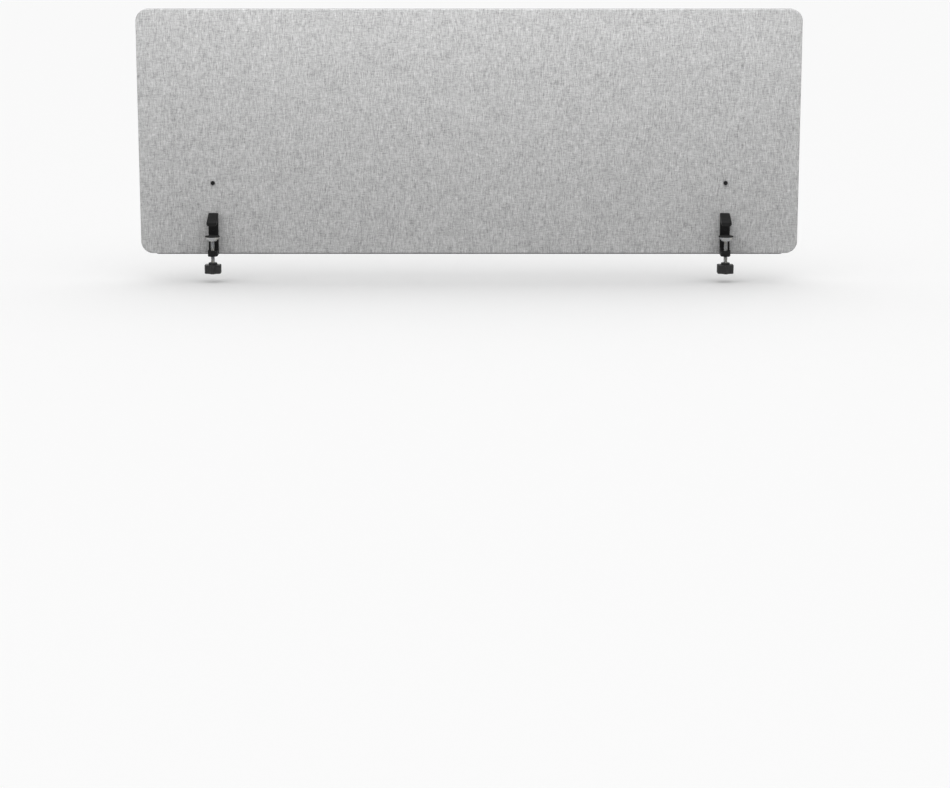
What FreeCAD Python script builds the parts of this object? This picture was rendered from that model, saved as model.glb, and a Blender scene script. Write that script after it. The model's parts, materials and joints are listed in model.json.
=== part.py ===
# Desk privacy panel: an upholstered screen that two screw clamps hold behind a desk's rear edge.
#
# Lengths are millimetres. +X runs along the panel, +Y points away from the desk, +Z is up.
# The origin is the centre of the panel's bottom edge, at the middle of its thickness.
# At rest the clamps grip a desk top DESK_THICKNESS thick, whose top face lies at DESK_LEVEL.

import FreeCAD, Part
import math
import os

Vector = FreeCAD.Vector
X_AXIS = Vector(1, 0, 0)
Y_AXIS = Vector(0, 1, 0)
Z_AXIS = Vector(0, 0, 1)

# ---- panel -----------------------------------------------------------------------------------
PANEL_WIDTH = 1350.0
PANEL_HEIGHT = 500.0
PANEL_THICKNESS = 25.0
CORNER_RADIUS = 25.0
COVER_THICKNESS = 1.0            # woven cover
FOAM_THICKNESS = 2.5             # padding between the board and the cover
EDGE_ROUNDING = 3.0              # soft outer edge of the cover
SEAM_GAP = 0.2                   # front and rear covers meet half way through the thickness

# ---- closing strip under the panel, which locks the covers into the board's groove --------------
STRIP_THICKNESS = 1.6
STRIP_WIDTH = 19.0
STRIP_LENGTH = 1290.0
TONGUE_THICKNESS = 3.0
TONGUE_HEIGHT = 7.0
GROOVE_CLEARANCE = 0.1
GROOVE_SPARE_DEPTH = 1.0

# ---- clamps ----------------------------------------------------------------------------------
CLAMP_SPACING = 1050.0           # centre to centre
DESK_LEVEL = 64.0                # top face of the desk above the panel's bottom edge
DESK_THICKNESS = 22.0            # desk top gripped at rest
CLAMP_WIDTH = 20.0
SPINE_THICKNESS = 10.0
JAW_REACH = 36.0                 # upper jaw, forward of the desk's rear edge
JAW_TIP_HEIGHT = 8.0             # from the desk top, rubber pad included
JAW_ROOT_HEIGHT = 21.0           # from the desk top, at the panel
ARM_THICKNESS = 12.0
CAST_EDGE = 1.0                  # rounding along the casting's side edges
JAW_TIP_ROUNDING = 2.5
ARM_CORNER_FILLET = 5.0
HEEL_ROUNDING = 4.0
JAW_PAD_THICKNESS = 2.5
JAW_PAD_WIDTH = 18.0
JAW_PAD_LENGTH = 32.0
JAW_PAD_SETBACK = 3.0            # from the desk's rear edge
JAW_PAD_CORNER = 2.0

# ---- backing bar and fasteners -------------------------------------------------------------------
BAR_THICKNESS = 5.0
BAR_EDGE = 0.6
UPPER_BOLT_HEIGHT = 83.0         # above the desk top
LOWER_BOLT_LEVELS = (20.0, 52.0)  # above the panel's bottom edge
HEAD_SINK = 0.5                  # upper bolt heads press this far into the cover
FIT_CLEARANCE = 0.05             # radial, between parts that are pressed or screwed together
BOLT_CLEARANCE = 0.25            # radial, of a bolt in a plain hole
SOCKET_DEPTH = 2.2
HEAD_EDGE = 0.4

M5 = {"radius": 2.5, "head_radius": 4.25, "head_height": 3.5, "socket": 3.0, "sleeve_radius": 4.25}
M6 = {"radius": 3.0, "head_radius": 5.0, "head_height": 4.0, "socket": 4.0, "sleeve_radius": 5.0}
LOWER_BOLT_LENGTH = 40.0
WASHER_RADIUS = 6.0
WASHER_THICKNESS = 1.6

# ---- clamp screw, pressure foot and knob --------------------------------------------------------
SCREW_RADIUS = 4.0               # M8
SCREW_SETBACK = 20.0             # axis forward of the desk's rear edge
FOOT_RADIUS = 15.0
FOOT_PLATE = 4.0
FOOT_BOSS_RADIUS = 9.0
FOOT_BOSS = 4.0
FOOT_PAD_THICKNESS = 2.0
FOOT_EDGE = 0.8
JOURNAL_RADIUS = 3.0             # screw tip that turns in the foot
JOURNAL_CLEARANCE = 0.05
END_PLAY = 0.1
CLIP_SEAT_RADIUS = 7.0
CLIP_SEAT_DEPTH = 3.0
CLIP_RADIUS = 5.2
CLIP_THICKNESS = 0.8
CLIP_GROOVE_RADIUS = 2.4
CLIP_GROOVE_WIDTH = 1.0
CLIP_MOUTH = 4.0
TIP_RECESS = 0.5                 # screw tip below the foot's rubber pad
TIP_CHAMFER = 0.6

KNOB_TOP_DROP = 13.0             # knob's top below the clamp arm at rest
KNOB_HEIGHT = 22.0
KNOB_RADIUS = 18.0
KNOB_LOBES = 6
KNOB_SCALLOP_RADIUS = 8.0
KNOB_SCALLOP_CENTRE = 22.5       # from the knob's axis
KNOB_SCALLOP_BLEND = 2.5
KNOB_EDGE = 1.2
KNOB_NECK_RADIUS = 9.0
KNOB_NECK_HEIGHT = 4.0
HEX_HEAD_FLATS = 13.0
HEX_HEAD_HEIGHT = 5.3
HEX_HEAD_DROP = 12.0             # top of the hexagon below the knob's top
KNOB_CAP_RADIUS = 11.0
KNOB_CAP_THICKNESS = 1.6
CAP_PLUG_RADIUS = 6.0
CAP_GAP = 0.4                    # between the cap's plug and the screw's hexagon

# ---- planes and places worked out from the above -------------------------------------------------
FRONT = -PANEL_THICKNESS / 2
REAR = PANEL_THICKNESS / 2
DESK_EDGE = FRONT - SPINE_THICKNESS
COVER_BOTTOM = STRIP_THICKNESS
BAR_REAR = REAR + BAR_THICKNESS
JAW_UNDERSIDE = DESK_LEVEL + JAW_PAD_THICKNESS
DESK_UNDERSIDE = DESK_LEVEL - DESK_THICKNESS
UPPER_BOLT_LEVEL = DESK_LEVEL + UPPER_BOLT_HEIGHT
CLAMP_PLACES = {"left": -CLAMP_SPACING / 2, "right": CLAMP_SPACING / 2}
SCREW_Y = DESK_EDGE - SCREW_SETBACK
FOOT_TOP = DESK_UNDERSIDE - FOOT_PAD_THICKNESS
FOOT_BOTTOM = FOOT_TOP - FOOT_PLATE - FOOT_BOSS
SCREW_SHOULDER = FOOT_BOTTOM - END_PLAY
CLIP_BOTTOM = FOOT_TOP - CLIP_SEAT_DEPTH + END_PLAY
KNOB_TOP = -KNOB_TOP_DROP
KNOB_BOTTOM = KNOB_TOP - KNOB_HEIGHT
HEX_HEAD_TOP = KNOB_TOP - HEX_HEAD_DROP
HEX_HEAD_BOTTOM = HEX_HEAD_TOP - HEX_HEAD_HEIGHT


# ---- small helpers -------------------------------------------------------------------------------
def box(x_range, y_range, z_range):
    """Block between two corners."""
    corner = Vector(x_range[0], y_range[0], z_range[0])
    size = [high - low for low, high in (x_range, y_range, z_range)]
    return Part.makeBox(size[0], size[1], size[2], corner)


def rod_y(radius, x, z, y_low, y_high):
    """Round bar along Y."""
    return Part.makeCylinder(radius, y_high - y_low, Vector(x, y_low, z), Y_AXIS)


def rod_z(radius, x, y, z_low, z_high):
    """Round bar along Z."""
    return Part.makeCylinder(radius, z_high - z_low, Vector(x, y, z_low), Z_AXIS)


def hexagon(flats, centre, axis, length):
    """Six-sided bar from centre along axis, measured across its flats."""
    corner_radius = flats / 2 / math.cos(math.pi / 6)
    corners = [
        Vector(corner_radius * math.cos(turn), corner_radius * math.sin(turn), 0)
        for turn in (math.radians(60 * i) for i in range(7))
    ]
    bar = Part.Face(Part.makePolygon(corners)).extrude(Vector(0, 0, length))
    bar.Placement = FreeCAD.Placement(centre, FreeCAD.Rotation(Z_AXIS, axis))
    return bar


def edges_along(shape, axis):
    """Straight edges parallel to axis."""
    return [
        edge for edge in shape.Edges
        if isinstance(edge.Curve, Part.Line) and abs(edge.Curve.Direction.dot(axis)) > 0.999
    ]


def edges_on_plane(shape, axis, level):
    """Edges that lie in the plane at this level along axis."""
    return [
        edge for edge in shape.Edges
        if all(abs(edge.valueAt(t).dot(axis) - level) < 1e-4
               for t in (edge.FirstParameter, (edge.FirstParameter + edge.LastParameter) / 2,
                         edge.LastParameter))
    ]


def rounded_plate(inset, y_range, z_bottom, face_levels=(), rounding=0.0):
    """Upright plate with the panel's outline, set in all round, its edges on some faces rounded."""
    half_width = PANEL_WIDTH / 2 - inset
    plate = box((-half_width, half_width), y_range, (z_bottom + inset, PANEL_HEIGHT - inset))
    plate = plate.makeFillet(CORNER_RADIUS - inset, edges_along(plate, Y_AXIS))
    for level in face_levels:
        plate = plate.makeFillet(rounding, edges_on_plane(plate, Y_AXIS, level))
    return plate


def cut_all(shape, tools):
    """Take every tool out of the shape."""
    return shape.cut(Part.makeCompound(tools)) if tools else shape


def bolt_places():
    """Axis of every bolt through the panel, with its size."""
    upper = [(x, UPPER_BOLT_LEVEL, M5) for x in CLAMP_PLACES.values()]
    lower = [(x, z, M6) for x in CLAMP_PLACES.values() for z in LOWER_BOLT_LEVELS]
    return upper + lower


# ---- panel ---------------------------------------------------------------------------------------
def sleeve_holes(y_low, y_high):
    """Holes for the sleeves that line every bolt hole."""
    return [
        rod_y(size["sleeve_radius"] + FIT_CLEARANCE, x, z, y_low, y_high)
        for x, z, size in bolt_places()
    ]


def core_board():
    """Board inside the panel, with a groove along its bottom edge."""
    half_board = PANEL_THICKNESS / 2 - COVER_THICKNESS - FOAM_THICKNESS
    board = rounded_plate(COVER_THICKNESS, (-half_board, half_board), COVER_BOTTOM)
    groove_half = TONGUE_THICKNESS / 2 + COVER_THICKNESS + GROOVE_CLEARANCE
    groove_top = COVER_BOTTOM + TONGUE_HEIGHT + GROOVE_SPARE_DEPTH
    groove_end = STRIP_LENGTH / 2
    groove = box((-groove_end, groove_end), (-groove_half, groove_half), (0, groove_top))
    return cut_all(board, [groove] + sleeve_holes(-half_board, half_board))


def foam(side):
    """Padding on one face of the board: side is -1 at the front, 1 at the rear."""
    outer = side * (PANEL_THICKNESS / 2 - COVER_THICKNESS)
    inner = outer - side * FOAM_THICKNESS
    y_range = (min(outer, inner), max(outer, inner))
    rounding = EDGE_ROUNDING - COVER_THICKNESS
    sheet = rounded_plate(COVER_THICKNESS, y_range, COVER_BOTTOM, (outer,), rounding)
    return cut_all(sheet, sleeve_holes(*y_range))


def cover(side):
    """Woven cover on one face, wrapped round the edges and tucked into the board's groove."""
    outer_faces = (FRONT, REAR)
    inner_faces = (FRONT + COVER_THICKNESS, REAR - COVER_THICKNESS)
    skin = rounded_plate(0.0, outer_faces, COVER_BOTTOM, outer_faces, EDGE_ROUNDING)
    hollow = rounded_plate(COVER_THICKNESS, inner_faces, COVER_BOTTOM, inner_faces,
                           EDGE_ROUNDING - COVER_THICKNESS)
    half_width = PANEL_WIDTH / 2 + 1
    y_range = sorted((side * SEAM_GAP / 2, side * PANEL_THICKNESS))
    half_space = box((-half_width, half_width), y_range, (0, PANEL_HEIGHT + 1))
    tuck_end = STRIP_LENGTH / 2
    slot_half = TONGUE_THICKNESS / 2
    slot = box((-tuck_end, tuck_end), (-slot_half, slot_half),
               (0, COVER_BOTTOM + COVER_THICKNESS))
    tuck_y = sorted((side * slot_half, side * (slot_half + COVER_THICKNESS)))
    tuck = box((-tuck_end, tuck_end), tuck_y, (COVER_BOTTOM, COVER_BOTTOM + TONGUE_HEIGHT))
    shell = skin.cut(hollow).common(half_space).cut(slot).fuse(tuck).removeSplitter()

    y_hole = sorted((side * PANEL_THICKNESS, 0))
    holes = [rod_y(size["radius"] + BOLT_CLEARANCE, x, z, *y_hole) for x, z, size in bolt_places()]
    if side < 0:
        head_room = M5["head_radius"] + FIT_CLEARANCE
        holes += [
            rod_y(head_room, x, UPPER_BOLT_LEVEL, FRONT - 1, FRONT + HEAD_SINK)
            for x in CLAMP_PLACES.values()
        ]
    return cut_all(shell, holes)


def bottom_strip():
    """Closing strip: a flange under the panel and a tongue that holds the covers in the groove."""
    half = STRIP_LENGTH / 2
    flange = box((-half, half), (-STRIP_WIDTH / 2, STRIP_WIDTH / 2), (0, STRIP_THICKNESS))
    flange = flange.makeFillet(STRIP_WIDTH / 2 - 0.5, edges_along(flange, Z_AXIS))
    tongue_y = (-TONGUE_THICKNESS / 2, TONGUE_THICKNESS / 2)
    tongue_end = half - STRIP_WIDTH / 2
    tongue = box((-tongue_end, tongue_end), tongue_y,
                 (STRIP_THICKNESS, STRIP_THICKNESS + TONGUE_HEIGHT))
    return flange.fuse(tongue).removeSplitter()


def sleeve(x, z, size):
    """Spacer tube that keeps a bolt from crushing the board and the padding."""
    y_range = (FRONT + COVER_THICKNESS, REAR - COVER_THICKNESS)
    bore = rod_y(size["radius"] + BOLT_CLEARANCE, x, z, *y_range)
    return rod_y(size["sleeve_radius"], x, z, *y_range).cut(bore)


# ---- fasteners -----------------------------------------------------------------------------------
def socket_bolt(x, z, y_seat, y_tip, size):
    """Low-head socket bolt whose head bears on the plane y_seat and whose shank ends at y_tip."""
    away = 1 if y_seat > y_tip else -1
    y_head = y_seat + away * size["head_height"]
    head = rod_y(size["head_radius"], x, z, min(y_seat, y_head), max(y_seat, y_head))
    head = head.makeFillet(HEAD_EDGE, edges_on_plane(head, Y_AXIS, y_head))
    shank = rod_y(size["radius"], x, z, min(y_seat, y_tip), max(y_seat, y_tip))
    shank = shank.makeChamfer(HEAD_EDGE, edges_on_plane(shank, Y_AXIS, y_tip))
    socket = hexagon(size["socket"], Vector(x, y_head, z), Vector(0, -away, 0), SOCKET_DEPTH)
    return head.fuse(shank).cut(socket).removeSplitter()


def upper_bolt(x):
    """Bolt whose head shows on the panel's front, screwed into the backing bar."""
    return socket_bolt(x, UPPER_BOLT_LEVEL, FRONT + HEAD_SINK, BAR_REAR, M5)


def lower_bolt(x, z):
    """Bolt from behind through the bar and the panel into the clamp."""
    y_seat = BAR_REAR + WASHER_THICKNESS
    return socket_bolt(x, z, y_seat, y_seat - LOWER_BOLT_LENGTH, M6)


def lower_washer(x, z):
    """Flat washer under a lower bolt's head."""
    y_range = (BAR_REAR, BAR_REAR + WASHER_THICKNESS)
    disc = rod_y(WASHER_RADIUS, x, z, *y_range)
    return disc.cut(rod_y(M6["radius"] + BOLT_CLEARANCE, x, z, *y_range))


# ---- clamp, fixed parts --------------------------------------------------------------------------
def clamp_body(x):
    """C-shaped casting: upper jaw, spine and lower arm with a threaded boss."""
    arm_tip = SCREW_Y - CLAMP_WIDTH / 2
    jaw_tip = DESK_EDGE - JAW_REACH
    outline = [
        (FRONT, 0), (FRONT, DESK_LEVEL + JAW_ROOT_HEIGHT),
        (jaw_tip, DESK_LEVEL + JAW_TIP_HEIGHT), (jaw_tip, JAW_UNDERSIDE),
        (DESK_EDGE, JAW_UNDERSIDE), (DESK_EDGE, ARM_THICKNESS),
        (arm_tip, ARM_THICKNESS), (arm_tip, 0),
    ]
    x_low = x - CLAMP_WIDTH / 2
    x_high = x + CLAMP_WIDTH / 2
    points = [Vector(x_low, y, z) for y, z in outline + outline[:1]]
    body = Part.Face(Part.makePolygon(points)).extrude(Vector(CLAMP_WIDTH, 0, 0))

    def corner_edge(y, z):
        return [
            edge for edge in edges_along(body, X_AXIS)
            if (edge.valueAt(edge.FirstParameter) - Vector(x, y, z)).cross(X_AXIS).Length < 1e-3
        ]

    for y, z, radius in (
        (jaw_tip, DESK_LEVEL + JAW_TIP_HEIGHT, JAW_TIP_ROUNDING),
        (DESK_EDGE, ARM_THICKNESS, ARM_CORNER_FILLET),
        (FRONT, 0, HEEL_ROUNDING),
    ):
        body = body.makeFillet(radius, corner_edge(y, z))
    arm_end = [
        edge for edge in edges_along(body, Z_AXIS) if abs(edge.valueAt(0).y - arm_tip) < 1e-3
    ]
    body = body.makeFillet(CLAMP_WIDTH / 2 - 0.01, arm_end)
    side_edges = [
        edge for level in (x_low, x_high) for edge in edges_on_plane(body, X_AXIS, level)
        if not all(abs(edge.valueAt(t).y - FRONT) < 1e-3
                   for t in (edge.FirstParameter, edge.LastParameter))
    ]
    body = body.makeFillet(CAST_EDGE, side_edges)
    holes = [rod_y(M6["radius"] + FIT_CLEARANCE, x, z, DESK_EDGE, FRONT)
             for z in LOWER_BOLT_LEVELS]
    holes.append(rod_z(SCREW_RADIUS + FIT_CLEARANCE, x, SCREW_Y, 0, ARM_THICKNESS))
    return cut_all(body, holes)


def jaw_pad(x):
    """Rubber pad under the upper jaw."""
    half = JAW_PAD_WIDTH / 2
    y_high = DESK_EDGE - JAW_PAD_SETBACK
    pad = box((x - half, x + half), (y_high - JAW_PAD_LENGTH, y_high), (DESK_LEVEL, JAW_UNDERSIDE))
    return pad.makeFillet(JAW_PAD_CORNER, edges_along(pad, Z_AXIS))


def backing_bar(x):
    """Flat bar behind the panel that ties the clamp to the upper bolt, rounded about its end bolts."""
    half = CLAMP_WIDTH / 2
    z_low = LOWER_BOLT_LEVELS[0]
    plate = box((x - half, x + half), (REAR, BAR_REAR), (z_low, UPPER_BOLT_LEVEL))
    ends = [rod_y(half, x, z, REAR, BAR_REAR) for z in (z_low, UPPER_BOLT_LEVEL)]
    bar = plate.multiFuse(ends).removeSplitter()
    bar = bar.makeFillet(BAR_EDGE, edges_on_plane(bar, Y_AXIS, BAR_REAR))
    holes = [rod_y(M6["radius"] + BOLT_CLEARANCE, x, z, REAR, BAR_REAR) for z in LOWER_BOLT_LEVELS]
    holes.append(rod_y(M5["radius"] + FIT_CLEARANCE, x, UPPER_BOLT_LEVEL, REAR, BAR_REAR))
    return cut_all(bar, holes)


# ---- clamp, moving parts -------------------------------------------------------------------------
def pressure_foot(x):
    """Round foot that rises under the desk top and doesn't turn with the screw."""
    boss = rod_z(FOOT_BOSS_RADIUS, x, SCREW_Y, FOOT_BOTTOM, FOOT_BOTTOM + FOOT_BOSS)
    plate = rod_z(FOOT_RADIUS, x, SCREW_Y, FOOT_TOP - FOOT_PLATE, FOOT_TOP)
    plate = plate.makeFillet(FOOT_EDGE, edges_on_plane(plate, Z_AXIS, FOOT_TOP - FOOT_PLATE))
    foot = boss.fuse(plate).removeSplitter()
    bore = rod_z(JOURNAL_RADIUS + JOURNAL_CLEARANCE, x, SCREW_Y, FOOT_BOTTOM, FOOT_TOP)
    clip_seat = rod_z(CLIP_SEAT_RADIUS, x, SCREW_Y, FOOT_TOP - CLIP_SEAT_DEPTH, FOOT_TOP)
    return cut_all(foot, [bore, clip_seat])


def foot_pad(x):
    """Rubber disc glued on the foot."""
    pad = rod_z(FOOT_RADIUS, x, SCREW_Y, FOOT_TOP, DESK_UNDERSIDE)
    return pad.makeFillet(FOOT_EDGE, edges_on_plane(pad, Z_AXIS, DESK_UNDERSIDE))


def clamp_screw(x):
    """Threaded rod with a hexagon head at the bottom and a grooved journal at the top."""
    shank = rod_z(SCREW_RADIUS, x, SCREW_Y, HEX_HEAD_TOP, SCREW_SHOULDER)
    shank = shank.makeChamfer(TIP_CHAMFER, edges_on_plane(shank, Z_AXIS, SCREW_SHOULDER))
    journal_top = FOOT_TOP - TIP_RECESS
    journal = rod_z(JOURNAL_RADIUS, x, SCREW_Y, SCREW_SHOULDER - 1, journal_top)
    journal = journal.makeChamfer(TIP_CHAMFER, edges_on_plane(journal, Z_AXIS, journal_top))
    head = hexagon(HEX_HEAD_FLATS, Vector(x, SCREW_Y, HEX_HEAD_BOTTOM), Z_AXIS, HEX_HEAD_HEIGHT)
    groove_top = CLIP_BOTTOM + CLIP_GROOVE_WIDTH
    groove = rod_z(JOURNAL_RADIUS + 1, x, SCREW_Y, CLIP_BOTTOM, groove_top).cut(
        rod_z(CLIP_GROOVE_RADIUS, x, SCREW_Y, CLIP_BOTTOM, groove_top))
    return shank.multiFuse([journal, head]).cut(groove).removeSplitter()


def foot_clip(x):
    """Open retaining ring in the journal's groove, which keeps the foot on the screw."""
    clip_top = CLIP_BOTTOM + CLIP_THICKNESS
    ring = rod_z(CLIP_RADIUS, x, SCREW_Y, CLIP_BOTTOM, clip_top)
    eye = rod_z(CLIP_GROOVE_RADIUS + FIT_CLEARANCE, x, SCREW_Y, CLIP_BOTTOM, clip_top)
    mouth = box((x - CLIP_MOUTH / 2, x + CLIP_MOUTH / 2), (SCREW_Y - CLIP_RADIUS - 1, SCREW_Y),
                (CLIP_BOTTOM, clip_top))
    return cut_all(ring, [eye, mouth])


def knob(x):
    """Lobed hand knob moulded round the screw's hexagon head, open underneath."""
    grip_top = KNOB_TOP - KNOB_NECK_HEIGHT
    grip = rod_z(KNOB_RADIUS, x, SCREW_Y, KNOB_BOTTOM, grip_top)
    step = 2 * math.pi / KNOB_LOBES
    scallops = [
        rod_z(KNOB_SCALLOP_RADIUS, x + KNOB_SCALLOP_CENTRE * math.cos(i * step),
              SCREW_Y + KNOB_SCALLOP_CENTRE * math.sin(i * step), KNOB_BOTTOM, grip_top)
        for i in range(KNOB_LOBES)
    ]
    grip = cut_all(grip, scallops)
    grip = grip.makeFillet(KNOB_SCALLOP_BLEND, edges_along(grip, Z_AXIS))
    for level in (grip_top, KNOB_BOTTOM):
        grip = grip.makeFillet(KNOB_EDGE, edges_on_plane(grip, Z_AXIS, level))
    neck = rod_z(KNOB_NECK_RADIUS, x, SCREW_Y, grip_top - 1, KNOB_TOP)
    neck = neck.makeFillet(KNOB_EDGE, edges_on_plane(neck, Z_AXIS, KNOB_TOP))
    shank_hole = rod_z(SCREW_RADIUS + FIT_CLEARANCE, x, SCREW_Y, HEX_HEAD_TOP, KNOB_TOP)
    pocket = hexagon(HEX_HEAD_FLATS + 2 * FIT_CLEARANCE, Vector(x, SCREW_Y, KNOB_BOTTOM), Z_AXIS,
                     HEX_HEAD_TOP - KNOB_BOTTOM)
    cap_seat = rod_z(KNOB_CAP_RADIUS + FIT_CLEARANCE, x, SCREW_Y, KNOB_BOTTOM,
                     KNOB_BOTTOM + KNOB_CAP_THICKNESS)
    return cut_all(grip.fuse(neck).removeSplitter(), [shank_hole, pocket, cap_seat])


def knob_cap(x):
    """Disc that closes the knob underneath, with a plug up to the hexagon head."""
    disc = rod_z(KNOB_CAP_RADIUS, x, SCREW_Y, KNOB_BOTTOM, KNOB_BOTTOM + KNOB_CAP_THICKNESS)
    plug = rod_z(CAP_PLUG_RADIUS, x, SCREW_Y, KNOB_BOTTOM, HEX_HEAD_BOTTOM - CAP_GAP)
    return disc.fuse(plug).removeSplitter()


# ---- assembly ------------------------------------------------------------------------------------
def panel_nodes():
    """Nodes of the panel and of the fasteners that both clamps share."""
    places = list(CLAMP_PLACES.values())
    lower = [(x, z) for x in places for z in LOWER_BOLT_LEVELS]
    return {
        "core_board": [core_board()],
        "front_foam": [foam(-1)],
        "rear_foam": [foam(1)],
        "front_cover": [cover(-1)],
        "rear_cover": [cover(1)],
        "bottom_strip": [bottom_strip()],
        "upper_sleeves": [sleeve(x, UPPER_BOLT_LEVEL, M5) for x in places],
        "lower_sleeves": [sleeve(x, z, M6) for x, z in lower],
        "upper_bolts": [upper_bolt(x) for x in places],
        "lower_bolts": [lower_bolt(x, z) for x, z in lower],
        "lower_washers": [lower_washer(x, z) for x, z in lower],
    }


def clamp_nodes(side, x):
    """Nodes of one clamp."""
    makers = (clamp_body, jaw_pad, backing_bar, pressure_foot, foot_pad, clamp_screw, foot_clip,
              knob, knob_cap)
    return {f"{side}_{maker.__name__}": [maker(x)] for maker in makers}


nodes = panel_nodes()
for clamp_side, clamp_x in CLAMP_PLACES.items():
    nodes.update(clamp_nodes(clamp_side, clamp_x))

os.makedirs("parts", exist_ok=True)
for name, pieces in nodes.items():
    solids = [solid for piece in pieces for solid in piece.Solids]
    shape = solids[0] if len(solids) == 1 else Part.makeCompound(solids)
    shape.exportStep(f"parts/{name}.step")
    print(f"{name}: {len(solids)} solid(s), valid {shape.isValid()}, {shape.Volume / 1000:.2f} cm3")
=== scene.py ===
import json
import math

import bmesh
import bpy
import numpy as np
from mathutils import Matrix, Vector


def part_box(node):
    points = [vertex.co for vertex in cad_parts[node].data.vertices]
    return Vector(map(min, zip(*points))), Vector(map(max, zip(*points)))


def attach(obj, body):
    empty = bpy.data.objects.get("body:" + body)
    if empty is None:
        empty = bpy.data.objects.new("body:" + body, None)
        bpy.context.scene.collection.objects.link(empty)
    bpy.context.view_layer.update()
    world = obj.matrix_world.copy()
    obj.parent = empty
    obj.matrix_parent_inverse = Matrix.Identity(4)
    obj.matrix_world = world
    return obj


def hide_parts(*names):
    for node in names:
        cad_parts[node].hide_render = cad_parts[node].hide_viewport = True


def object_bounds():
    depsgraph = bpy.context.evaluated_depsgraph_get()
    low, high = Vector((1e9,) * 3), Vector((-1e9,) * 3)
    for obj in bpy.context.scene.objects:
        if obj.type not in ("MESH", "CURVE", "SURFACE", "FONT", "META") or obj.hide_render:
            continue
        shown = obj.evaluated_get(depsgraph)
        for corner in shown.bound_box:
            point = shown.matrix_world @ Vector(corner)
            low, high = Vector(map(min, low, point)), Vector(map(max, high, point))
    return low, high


# Looks of the desk privacy panel: woven covers over padding, threaded clamp screws, ribbed rubber
# pads, seam stitching and finishes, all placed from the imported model. Lengths are metres.

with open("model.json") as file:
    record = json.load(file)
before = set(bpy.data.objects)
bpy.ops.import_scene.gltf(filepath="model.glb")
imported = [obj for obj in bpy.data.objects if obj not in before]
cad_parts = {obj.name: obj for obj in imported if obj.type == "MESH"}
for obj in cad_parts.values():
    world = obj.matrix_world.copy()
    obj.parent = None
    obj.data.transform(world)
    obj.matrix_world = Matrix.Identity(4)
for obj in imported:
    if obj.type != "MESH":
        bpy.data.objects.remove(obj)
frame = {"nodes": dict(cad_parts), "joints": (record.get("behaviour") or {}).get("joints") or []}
cad_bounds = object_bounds()
MM = 0.001
SIDES = ("left", "right")


def centre(node):
    """Centre of a node's box, as x, y, z."""
    low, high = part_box(node)
    return [(a + b) / 2 for a, b in zip(low, high)]


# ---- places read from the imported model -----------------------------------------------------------
FRONT_LOW, FRONT_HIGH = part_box("front_cover")
HALF_WIDTH = FRONT_HIGH.x
HALF_THICKNESS = -FRONT_LOW.y
COVER_BOTTOM = FRONT_LOW.z
PANEL_TOP = FRONT_HIGH.z
STRIP_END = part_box("bottom_strip")[1].x
WASHERS_LOW, WASHERS_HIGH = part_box("lower_washers")
WASHER_RADIUS = 6.0 * MM
BOLT_COLUMNS = [centre(f"{side}_clamp_body")[0] for side in SIDES]
UPPER_BOLT_LEVEL = centre("upper_bolts")[2]
LOWER_BOLT_LEVELS = [WASHERS_LOW.z + WASHER_RADIUS, WASHERS_HIGH.z - WASHER_RADIUS]
CLAMP_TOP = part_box("left_clamp_body")[1].z
BAR_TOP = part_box("left_backing_bar")[1].z

# ---- cover ---------------------------------------------------------------------------------------
CORNER_RADIUS = 25.0 * MM
ARC_X = HALF_WIDTH - CORNER_RADIUS   # centres of the panel's corner arcs
ARC_LOW = COVER_BOTTOM + CORNER_RADIUS
ARC_HIGH = PANEL_TOP - CORNER_RADIUS
CLOTH_THICKNESS = 0.8 * MM
WEAVE_SHIFT = 0.35                # keeps the two covers' weaves from matching
EDGE_ROUNDING = 2.4 * MM          # soft shoulder between the face and the edge
SHOULDER_STEPS = 7
SEAM_DEPTH = 0.6 * MM             # crease between the two covers along the edge
SEAM_HALF = 0.04 * MM
TUCK_DEPTH = 6.0 * MM             # cloth pushed into the board's groove beside the strip's tongue
TUCK_FACE = 1.6 * MM              # from the panel's middle plane to the tucked cloth
TUCK_END = STRIP_END - 4 * MM
TUCK_FADE = 10.0 * MM
GATHER_HEIGHT = 0.32 * MM         # small gathers where the cloth turns a corner
GATHERS_PER_CORNER = 9
HOLE_RADIUS = 2.9 * MM

# grid over the face, with closer lines near bolts and fittings
GRID_STEP = 10.0 * MM
FINE_STEP = 1.45 * MM
FINE_REACH = 17.0 * MM
FINE_LEVELS = [*LOWER_BOLT_LEVELS, CLAMP_TOP, UPPER_BOLT_LEVEL, BAR_TOP]
CORNER_LINES = 12

# relief of the cloth over the padding and round the fittings
BROAD_WAVE = 0.10 * MM
FINE_WAVE = 0.05 * MM
PRESS_IN = 0.04 * MM              # cloth squeezed under the clamps and the bars
PRESS_REACH = 1.6 * MM
BULGE = 0.35 * MM                 # cloth that stands up beside them
BULGE_REACH = 7.0 * MM
HEAD_SINK = 0.5 * MM              # cloth pressed in under the bolt heads
HEAD_RADIUS = 4.3 * MM            # flat bottom of the dimple
DIMPLE_REACH = 4.5 * MM
PUCKER = 0.06 * MM                # folds that run out from each bolt head
PUCKERS_PER_BOLT = 7
PUCKER_RADIUS = 10.0 * MM
PUCKER_WIDTH = 5.0 * MM

# sheet for the cloth simulation
SHEET_COLUMNS, SHEET_ROWS = 225, 83
SHEET_STEP = 6.0 * MM
BEDDING = 0.02                    # how firmly the padding holds the cloth between its fixings
PADDING_PUSH = 0.02
SETTLING_FRAMES = 20
SWELL_CAP = 0.7 * MM

# ---- seam stitches -------------------------------------------------------------------------------
STITCH_PITCH = 4.2 * MM
STITCH_SPAN = 3.4 * MM
STITCH_LEAN = 0.9 * MM
STITCH_RADIUS = 0.2 * MM
STITCH_RINGS = 7
STITCH_FACETS = 6

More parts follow.
